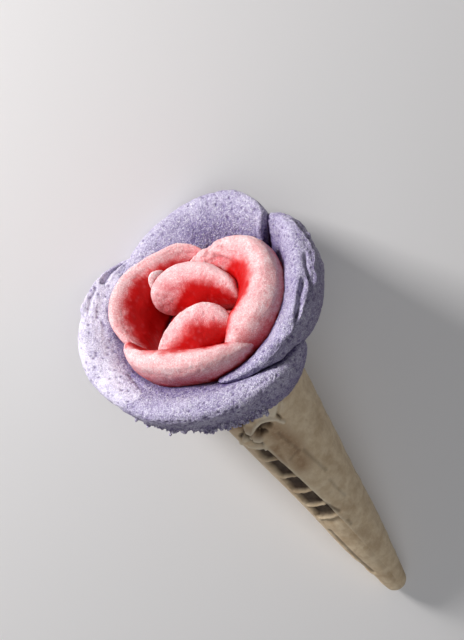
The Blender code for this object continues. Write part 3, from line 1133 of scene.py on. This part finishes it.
def pink_material(grain):
    material, nodes, shader = new_material("pink_gelato")
    where, ice = place_grain(nodes, grain, PINK_FINENESS)
    red = nodes.attribute("red")
    pitted = nodes.attribute("pitted")
    shelter = nodes.attribute("shelter")
    crest = nodes.attribute("crest")
    fringe = nodes.math("SUBTRACT", nodes.noise(where, 2.2, 4.0, 0.7), 0.5)
    red = nodes.math("MULTIPLY_ADD", fringe, 0.45, red)
    colour = nodes.mix(nodes.range(red, -0.05, 0.5), PINK_CREST, PINK_FOLD)
    colour = nodes.mix(nodes.range(red, 0.3, 0.85), colour, PINK_DEEP_FOLD)
    open_air = nodes.range(red, 0.9, 0.0)
    rime = nodes.noise(where, 4.5, 3.0, 0.6)
    thick = nodes.math("MULTIPLY_ADD", crest, 0.4, nodes.range(rime, 0.35, 0.7, 0.0, 0.25))
    thick = nodes.math("MULTIPLY_ADD", ice["Crystals"], 0.38, thick)
    colour = nodes.mix(nodes.math("MULTIPLY", open_air, thick), colour, PINK_RIME)
    # Painted shade in the grain's hollows, mostly on the frosted parts
    dark = nodes.math("MULTIPLY", nodes.math("MULTIPLY", ice["Shaded_hollows"], open_air), 0.4)
    colour = nodes.mix(dark, colour, PINK_HOLLOW_SHADE)
    # Painted shade inside the pits
    colour = nodes.mix(nodes.math("MULTIPLY", pitted, 0.3), colour, PINK_PIT_SHADE)
    # Painted shade, darker where the piece is shut in by what stands round it
    colour = nodes.mix(nodes.range(shelter, 0.6, 1.0, 0, 0.85), colour, PINK_PAINTED_SHADE)
    nodes.set(shader, "Base Color", colour)
    nodes.set(shader, "Roughness", nodes.range(red, 0.1, 0.9, 0.5, 0.36))
    strength = nodes.range(red, 0.2, 0.9, 0.8, 0.25)
    nodes.set(shader, "Normal", nodes.bump(ice["Height"], strength, 0.45))
    let_light_in(shader, 0.3, (1.6, 0.5, 0.5), 0.0015)
    return material


BAKED = (0.68, 0.52, 0.33, 1)
PALE_BAKED = (0.82, 0.67, 0.47, 1)
TOASTED = (0.43, 0.28, 0.15, 1)
CELL_BOTTOM_SHADE = (0.42, 0.28, 0.15, 1)
BROWNED = (0.33, 0.18, 0.085, 1)
RAISED_HIGHLIGHT = (0.90, 0.80, 0.62, 1)
WAFER_CRUMB = (0.80, 0.70, 0.54, 1)
PAINTED_HOLLOW_SHADE = (0.03, 0.012, 0.005, 1)


def wafer_material():
    material, nodes, shader = new_material("wafer")
    where = nodes.add("ShaderNodeTexCoord").outputs["Object"]
    cells = nodes.attribute("cells")
    hollow_shade = nodes.attribute("hollow_shade")
    pale = nodes.attribute("pale")
    edge = nodes.attribute("edge")
    stained = nodes.attribute("stained")
    toast = nodes.noise(where, 18, 4.0, 0.6)
    mottle = nodes.noise(where, 3.2, 4.0, 0.65)
    crumb = nodes.noise(where, 0.7, 3.0, 0.6)
    colour = nodes.mix(nodes.range(mottle, 0.3, 0.7), BAKED, PALE_BAKED)
    colour = nodes.mix(nodes.range(toast, 0.52, 0.72, 0, 0.55), colour, TOASTED)
    # Painted shade in the bottoms of the waffle's cells
    colour = nodes.mix(nodes.math("MULTIPLY", cells, 0.3), colour, CELL_BOTTOM_SHADE)
    brown = nodes.math("MULTIPLY", stained, nodes.range(mottle, 0.3, 0.6, 0.35, 0.8))
    colour = nodes.mix(brown, colour, BROWNED)
    # Painted highlight on the raised strokes and along the free edge
    light = nodes.math("MAXIMUM", pale, nodes.math("MULTIPLY", edge, 0.6))
    colour = nodes.mix(nodes.math("MULTIPLY", light, 0.75), colour, RAISED_HIGHLIGHT)
    colour = nodes.mix(nodes.range(crumb, 0.60, 0.72, 0, 0.35), colour, WAFER_CRUMB)
    # Painted shade, near black, in the deep cells, hollows, cracks, ribs and grooves
    dark = nodes.math("MULTIPLY", hollow_shade, nodes.range(mottle, 0.2, 0.8, 1.0, 0.85))
    colour = nodes.mix(dark, colour, PAINTED_HOLLOW_SHADE)
    nodes.set(shader, "Base Color", colour)
    nodes.set(shader, "Roughness", nodes.range(mottle, 0.3, 0.7, 0.66, 0.82))
    coarse = nodes.bump(mottle, 0.25, 0.5)
    nodes.set(shader, "Normal", nodes.bump(crumb, 0.45, 0.25, coarse))
    return material


# Crumbs of ice that hang from the ragged foot of the lower petal

CRUMBS = 420
CRUMB_SEED = 11
RAGGED_FOOT = 0.5
CRUMBS_ALONG = (14, 74)
CRUMBS_DOWN = (7, 33)
CRUMB_SIZES = (0.3, 0.85)
CRUMB_STRETCHES = ((0.6, 1.5), (0.6, 1.2), (0.6, 1.2))


def ice_crumbs(petal_piece, material):
    """Scatters crumbs over the foot, each at the surface point nearest to its random place.

    A place is the percentage of the way along the petal and the distance down from its crest.
    """
    mesh = petal_piece.data
    foot = np.flatnonzero(vertex_values(mesh, "ragged") > RAGGED_FOOT)
    spread = np.stack([100 * vertex_values(mesh, "share"), vertex_values(mesh, "down")], axis=1)[foot]
    shuffled = random.Random(CRUMB_SEED)
    bm = bmesh.new()
    for n in range(CRUMBS):
        place = (shuffled.uniform(*CRUMBS_ALONG), shuffled.uniform(*CRUMBS_DOWN))
        nearest = np.argmin(((spread - place) ** 2).sum(axis=1))
        vertex = mesh.vertices[int(foot[nearest])]
        size = shuffled.uniform(*CRUMB_SIZES) * MM
        stretch = Vector([shuffled.uniform(*limits) for limits in CRUMB_STRETCHES])
        made = bmesh.ops.create_icosphere(bm, subdivisions=2, radius=size)["verts"]
        for corner in made:
            corner.co *= 1 + 0.35 * noise.noise(corner.co / size * 1.3 + Vector((n, 0, 0)))
        bmesh.ops.scale(bm, vec=stretch, verts=made)
        turn = Matrix.Rotation(shuffled.uniform(0, math.tau), 4, Vector((0.3, 0.5, 0.8)))
        set_in = Matrix.Translation(vertex.co + vertex.normal * size * 0.5)
        bmesh.ops.transform(bm, matrix=set_in @ turn, verts=made)
    crumbs = bpy.data.meshes.new("ice_crumbs")
    bm.to_mesh(crumbs)
    bm.free()
    crumbs.materials.append(material)
    crumbs.shade_smooth()
    for name, value in (("frosted", 0.6), ("ragged", 1.0), ("porous", 0.0)):
        store(crumbs, name, np.full(len(crumbs.vertices), value))
    piece = bpy.data.objects.new("ice_crumbs", crumbs)
    bpy.context.scene.collection.objects.link(piece)
    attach(piece, "root")


def make_gelato():
    grain = icy_grain_group()
    lavender = lavender_material(grain)
    pink = pink_material(grain)
    forms = {"gelato_core": gelato_core(), "bud_heart": pink_heart()}
    for petals in (LAVENDER_PETALS, PINK_PETALS):
        for name, form in petals.items():
            forms[name] = spread_petal(form, INNER_EDGE.get(name, ROUND), *MESH_OF[name])
    store_shelter(forms)
    made = {}
    for name, bm in forms.items():
        is_pink = name in PINK_PETALS or name == "bud_heart"
        surface = pink_surface if is_pink else lavender_surface
        material = pink if is_pink else lavender
        made[name] = finished(name + "_gelato", bm, FLOWER, FINE, surface, material, name)
    ice_crumbs(made["petal_lower"], lavender)


def make_wafer():
    material = wafer_material()
    finished("rolled_wafer", wafer_form(), LAID_DOWN, 0, wafer_surface, material, "wafer_cone")


make_camera()
make_floor()
light_the_studio()
make_gelato()
make_wafer()
